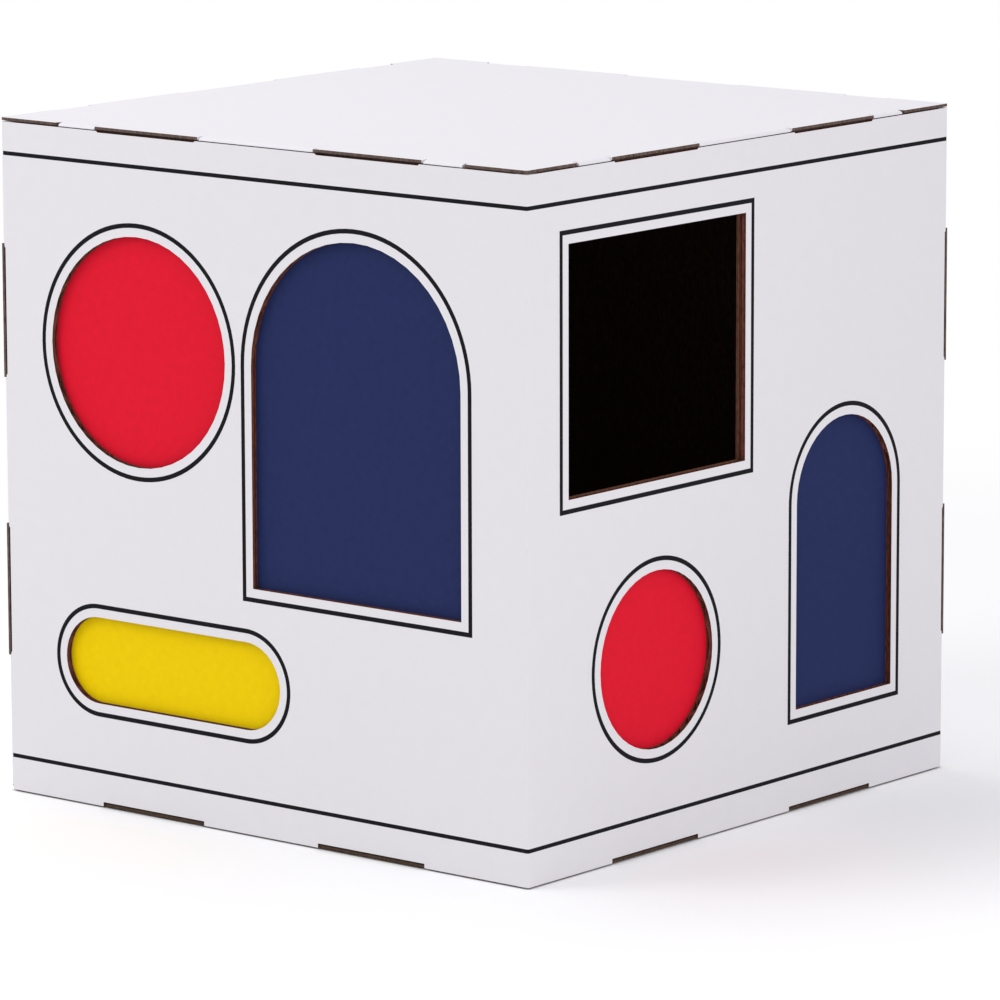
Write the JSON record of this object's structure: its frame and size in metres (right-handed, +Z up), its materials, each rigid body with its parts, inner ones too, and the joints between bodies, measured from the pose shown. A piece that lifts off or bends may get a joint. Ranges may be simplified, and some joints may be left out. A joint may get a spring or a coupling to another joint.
{
  "type": "cardboard cat house",
  "caption": "Cube-shaped hideout of folded corrugated board for a cat, with an entrance hole, card-backed round and arched windows, a tuck-in lid and a tuck-in floor.",
  "frame": {"origin": "on the floor under the middle of the cube", "axes": "+Z up; the entrance wall faces -Y and the wall with the largest window faces -X; the sheets' shared front fold is the vertical edge at -X -Y"},
  "size_m": [0.4, 0.4, 0.405],
  "materials": {
    "white_board": "matt white outer liner, brown cut edges",
    "brown_board": "plain kraft",
    "blue_card": "matt printed card",
    "red_card": "matt printed card",
    "yellow_card": "matt printed card"
  },
  "bodies": {
    "shell": {"front_wrap": "white_board", "rear_wrap": "white_board", "floor_tray": "brown_board", "entrance_lining": "brown_board", "left_lining": "brown_board", "blue_arch_card": "blue_card", "blue_small_arch_card": "blue_card", "red_disc_card": "red_card", "red_small_disc_card": "red_card", "yellow_pill_card": "yellow_card"},
    "lid": {"lid": "white_board"}
  },
  "joints": [
    {"name": "lid_lift", "type": "slide", "parent": "shell", "child": "lid", "axis": [0, 0, 1], "range_m": [0, 0.06]}
  ]
}
